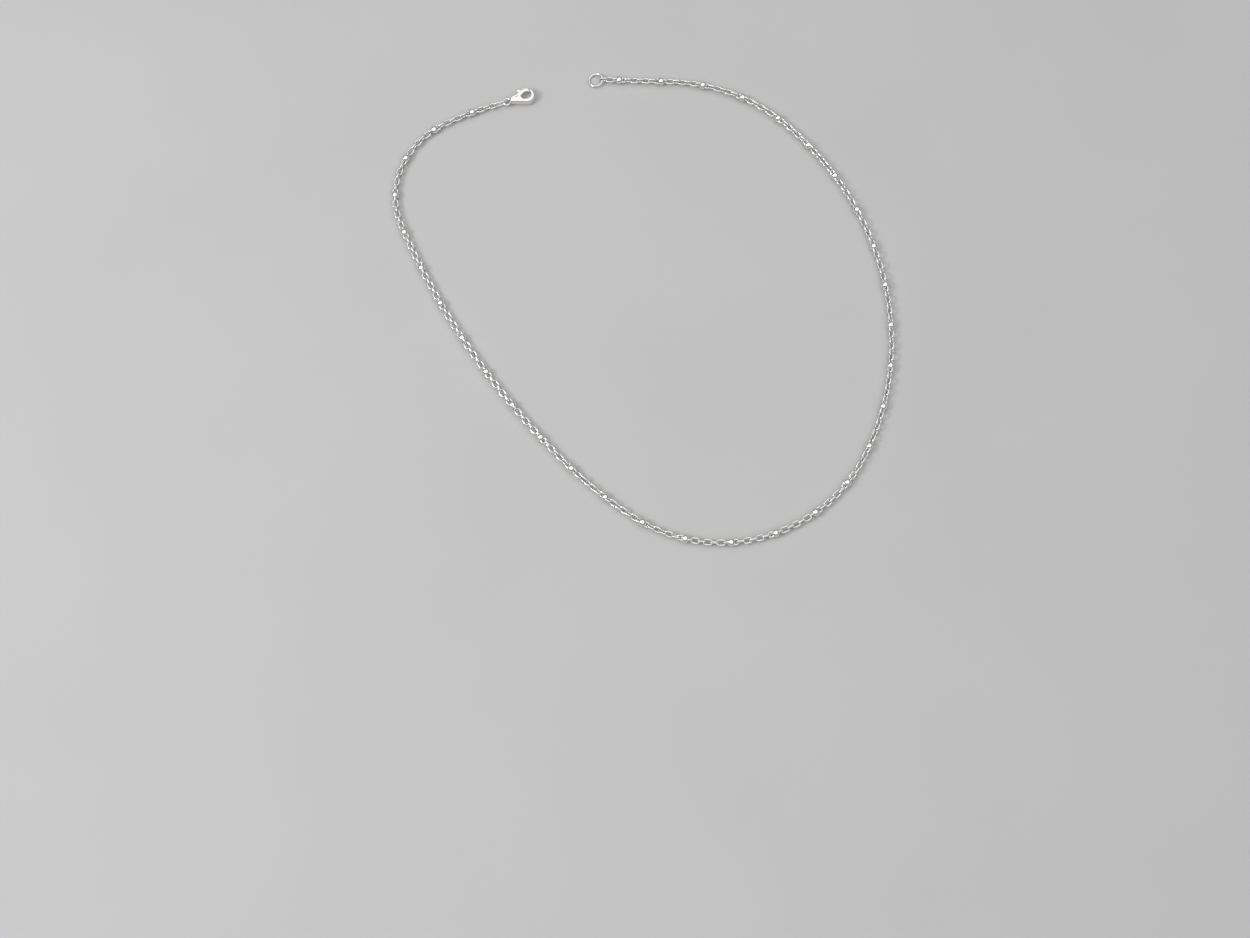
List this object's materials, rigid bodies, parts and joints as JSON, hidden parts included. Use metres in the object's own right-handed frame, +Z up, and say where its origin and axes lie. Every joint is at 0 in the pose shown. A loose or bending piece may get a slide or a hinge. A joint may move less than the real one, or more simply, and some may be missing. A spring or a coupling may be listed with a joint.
{
  "type": "chain necklace",
  "caption": "Fine oval-link cable chain necklace with small balls at even intervals and a lobster claw clasp, laid flat with the clasp undone.",
  "frame": {"origin": "middle of the laid necklace's box, on the table that it lies on", "axes": "+Z up from the table, +Y from the front ball of the chain towards the clasp, +X towards the catch ring's side"},
  "size_m": [0.1338, 0.1364, 0.0022],
  "materials": {
    "polished_silver": "polished",
    "spring_steel": "drawn wire"
  },
  "bodies": {
    "chain_run_01": {"chain_run_01": "polished_silver"},
    "chain_run_02": {"chain_run_02": "polished_silver"},
    "chain_run_03": {"chain_run_03": "polished_silver"},
    "chain_run_04": {"chain_run_04": "polished_silver"},
    "chain_run_05": {"chain_run_05": "polished_silver"},
    "chain_run_06": {"chain_run_06": "polished_silver"},
    "chain_run_07": {"chain_run_07": "polished_silver"},
    "chain_run_08": {"chain_run_08": "polished_silver"},
    "chain_run_09": {"chain_run_09": "polished_silver"},
    "chain_run_10": {"chain_run_10": "polished_silver"},
    "chain_run_11": {"chain_run_11": "polished_silver"},
    "chain_run_12": {"chain_run_12": "polished_silver"},
    "chain_run_13": {"chain_run_13": "polished_silver"},
    "chain_run_14": {"chain_run_14": "polished_silver"},
    "chain_run_15": {"chain_run_15": "polished_silver"},
    "chain_run_16": {"chain_run_16": "polished_silver"},
    "chain_run_17": {"chain_run_17": "polished_silver"},
    "chain_run_18": {"chain_run_18": "polished_silver"},
    "chain_run_19": {"chain_run_19": "polished_silver"},
    "chain_run_20": {"chain_run_20": "polished_silver"},
    "chain_run_21": {"chain_run_21": "polished_silver"},
    "chain_run_22": {"chain_run_22": "polished_silver"},
    "chain_run_23": {"chain_run_23": "polished_silver"},
    "chain_run_24": {"chain_run_24": "polished_silver"},
    "chain_run_25": {"chain_run_25": "polished_silver"},
    "chain_run_26": {"chain_run_26": "polished_silver"},
    "chain_run_27": {"chain_run_27": "polished_silver"},
    "chain_run_28": {"chain_run_28": "polished_silver"},
    "chain_run_29": {"chain_run_29": "polished_silver"},
    "chain_run_30": {"chain_run_30": "polished_silver"},
    "chain_run_31": {"chain_run_31": "polished_silver"},
    "chain_run_32": {"chain_run_32": "polished_silver"},
    "chain_run_33": {"chain_run_33": "polished_silver"},
    "clasp_ring": {"clasp_ring": "polished_silver"},
    "clasp": {"clasp_claw": "polished_silver", "clasp_rivet": "polished_silver", "clasp_spring": "spring_steel"},
    "clasp_trigger": {"clasp_trigger": "polished_silver"},
    "catch_ring": {"catch_ring": "polished_silver"}
  },
  "joints": [
    {"name": "clasp_ring_pivot", "type": "hinge", "parent": "chain_run_01", "child": "clasp_ring", "pos_m": [-0.03925, 0.05798, 0.00108], "axis": [-0.3058, 0.9521, 0], "range_deg": [-75, 75]},
    {"name": "clasp_pivot", "type": "hinge", "parent": "clasp_ring", "child": "clasp", "pos_m": [-0.03667, 0.05881, 0.00108], "axis": [0, 0, -1], "range_deg": [-75, 75]},
    {"name": "trigger_pivot", "type": "hinge", "parent": "clasp", "child": "clasp_trigger", "pos_m": [-0.03374, 0.06022, 0.00108], "axis": [0, 0, -1], "range_deg": [0, 28], "stiffness_Nm_per_rad": 0.0025},
    {"name": "catch_ring_pivot", "type": "hinge", "parent": "chain_run_33", "child": "catch_ring", "pos_m": [-0.01074, 0.06598, 0.00108], "axis": [0.0005, 0.0148, 0.9999], "range_deg": [-60, 60]},
    {"name": "link_pivot_16", "type": "hinge", "parent": "chain_run_17", "child": "chain_run_16", "pos_m": [0.02736, -0.06658, 0.00108], "axis": [0.0184, -0.0852, 0.9962], "range_deg": [-5, 75]},
    {"name": "link_pivot_18", "type": "hinge", "parent": "chain_run_17", "child": "chain_run_18", "pos_m": [0.0388, -0.06259, 0.00108], "axis": [0.0382, -0.0783, 0.9962], "range_deg": [-75, 5]},
    {"name": "link_pivot_15", "type": "hinge", "parent": "chain_run_16", "child": "chain_run_15", "pos_m": [0.01582, -0.06701, 0.00108], "axis": [0.0836, 0.9922, 0.0926], "range_deg": [-75, 75]},
    {"name": "link_pivot_19", "type": "hinge", "parent": "chain_run_18", "child": "chain_run_19", "pos_m": [0.04825, -0.05595, 0.00108], "axis": [-0.6454, 0.7337, 0.2122], "range_deg": [-75, 75]},
    {"name": "link_pivot_14", "type": "hinge", "parent": "chain_run_15", "child": "chain_run_14", "pos_m": [0.00467, -0.06406, 0.00108], "axis": [0.2628, 0.6565, -0.7071], "range_deg": [-75, 75]},
    {"name": "link_pivot_20", "type": "hinge", "parent": "chain_run_19", "child": "chain_run_20", "pos_m": [0.05562, -0.04706, 0.00108], "axis": [-0.4459, 0.2932, -0.8457], "range_deg": [-75, 75]},
    {"name": "link_pivot_13", "type": "hinge", "parent": "chain_run_14", "child": "chain_run_13", "pos_m": [-0.00523, -0.05808, 0.00108], "axis": [-0.4126, -0.5742, -0.7071], "range_deg": [-75, 75]},
    {"name": "link_pivot_21", "type": "hinge", "parent": "chain_run_20", "child": "chain_run_21", "pos_m": [0.06065, -0.03664, 0.00108], "axis": [0.656, -0.2639, -0.7071], "range_deg": [-75, 75]},
    {"name": "link_pivot_12", "type": "hinge", "parent": "chain_run_13", "child": "chain_run_12", "pos_m": [-0.01419, -0.05076, 0.00108], "axis": [-0.5542, -0.6221, 0.553], "range_deg": [-75, 75]},
    {"name": "link_pivot_22", "type": "hinge", "parent": "chain_run_21", "child": "chain_run_22", "pos_m": [0.06399, -0.02557, 0.00108], "axis": [0.6883, -0.162, 0.7071], "range_deg": [-75, 75]},
    {"name": "link_pivot_11", "type": "hinge", "parent": "chain_run_12", "child": "chain_run_11", "pos_m": [-0.02237, -0.04257, 0.00108], "axis": [0.1401, 0.1314, 0.9814], "range_deg": [-75, 75]},
    {"name": "link_pivot_23", "type": "hinge", "parent": "chain_run_22", "child": "chain_run_23", "pos_m": [0.06563, -0.01411, 0.00108], "axis": [-0.7049, 0.0564, 0.7071], "range_deg": [-75, 75]},
    {"name": "link_pivot_10", "type": "hinge", "parent": "chain_run_11", "child": "chain_run_10", "pos_m": [-0.03003, -0.03388, 0.00108], "axis": [0.7644, 0.6448, 0], "range_deg": [-75, 75]},
    {"name": "link_pivot_24", "type": "hinge", "parent": "chain_run_23", "child": "chain_run_24", "pos_m": [0.06556, -0.00254, 0.00108], "axis": [-0.7057, -0.0444, -0.7071], "range_deg": [-75, 75]},
    {"name": "link_pivot_09", "type": "hinge", "parent": "chain_run_10", "child": "chain_run_09", "pos_m": [-0.03721, -0.0248, 0.00108], "axis": [0, 0, -1], "range_deg": [-75, 75]},
    {"name": "link_pivot_25", "type": "hinge", "parent": "chain_run_24", "child": "chain_run_25", "pos_m": [0.06391, 0.00891, 0.00108], "axis": [0.6931, 0.1402, -0.7071], "range_deg": [-75, 75]},
    {"name": "link_pivot_08", "type": "hinge", "parent": "chain_run_09", "child": "chain_run_08", "pos_m": [-0.04392, -0.01536, 0.00108], "axis": [-0.8276, -0.5614, 0], "range_deg": [-75, 75]},
    {"name": "link_pivot_26", "type": "hinge", "parent": "chain_run_25", "child": "chain_run_26", "pos_m": [0.06071, 0.02003, 0.00108], "axis": [0.6675, 0.2333, 0.7071], "range_deg": [-75, 75]},
    {"name": "link_pivot_07", "type": "hinge", "parent": "chain_run_08", "child": "chain_run_07", "pos_m": [-0.05012, -0.00559, 0.00108], "axis": [0, 0, 1], "range_deg": [-75, 75]},
    {"name": "link_pivot_27", "type": "hinge", "parent": "chain_run_26", "child": "chain_run_27", "pos_m": [0.05602, 0.03061, 0.00108], "axis": [-0.6987, -0.3575, 0.6196], "range_deg": [-75, 75]},
    {"name": "link_pivot_06", "type": "hinge", "parent": "chain_run_07", "child": "chain_run_06", "pos_m": [-0.0558, 0.0045, 0.00108], "axis": [0.8817, 0.4718, 0], "range_deg": [-75, 75]},
    {"name": "link_pivot_28", "type": "hinge", "parent": "chain_run_27", "child": "chain_run_28", "pos_m": [0.04994, 0.04046, 0.00108], "axis": [-0.2776, -0.1939, -0.9409], "range_deg": [-75, 75]},
    {"name": "link_pivot_05", "type": "hinge", "parent": "chain_run_06", "child": "chain_run_05", "pos_m": [-0.06095, 0.01488, 0.00108], "axis": [0, 0, -1], "range_deg": [-75, 75]},
    {"name": "link_pivot_29", "type": "hinge", "parent": "chain_run_28", "child": "chain_run_29", "pos_m": [0.04257, 0.04938, 0.00108], "axis": [0.7278, 0.6732, -0.1308], "range_deg": [-75, 75]},
    {"name": "link_pivot_04", "type": "hinge", "parent": "chain_run_05", "child": "chain_run_04", "pos_m": [-0.06523, 0.02561, 0.00108], "axis": [-0.9652, -0.2616, 0], "range_deg": [-75, 75]},
    {"name": "link_pivot_30", "type": "hinge", "parent": "chain_run_29", "child": "chain_run_30", "pos_m": [0.03387, 0.057, 0.00108], "axis": [0.063, 0.0874, 0.9942], "range_deg": [-75, 75]},
    {"name": "link_pivot_03", "type": "hinge", "parent": "chain_run_04", "child": "chain_run_03", "pos_m": [-0.065, 0.03709, 0.00108], "axis": [0, 0, 1], "range_deg": [-75, 75]},
    {"name": "link_pivot_31", "type": "hinge", "parent": "chain_run_30", "child": "chain_run_31", "pos_m": [0.02363, 0.06233, 0.00108], "axis": [-0.3697, -0.9253, 0.0845], "range_deg": [-75, 75]},
    {"name": "link_pivot_02", "type": "hinge", "parent": "chain_run_03", "child": "chain_run_02", "pos_m": [-0.05947, 0.04715, 0.00108], "axis": [0.7641, -0.6451, 0], "range_deg": [-75, 75]},
    {"name": "link_pivot_32", "type": "hinge", "parent": "chain_run_31", "child": "chain_run_32", "pos_m": [0.01239, 0.06504, 0.00108], "axis": [-0.0083, -0.0608, -0.9981], "range_deg": [-75, 75]},
    {"name": "link_pivot_01", "type": "hinge", "parent": "chain_run_02", "child": "chain_run_01", "pos_m": [-0.05, 0.0537, 0.00108], "axis": [0, 0, -1], "range_deg": [-75, 75]},
    {"name": "link_pivot_33", "type": "hinge", "parent": "chain_run_32", "child": "chain_run_33", "pos_m": [0.00083, 0.06558, 0.00108], "axis": [0.0349, 0.9987, -0.0381], "range_deg": [-75, 75]}
  ]
}
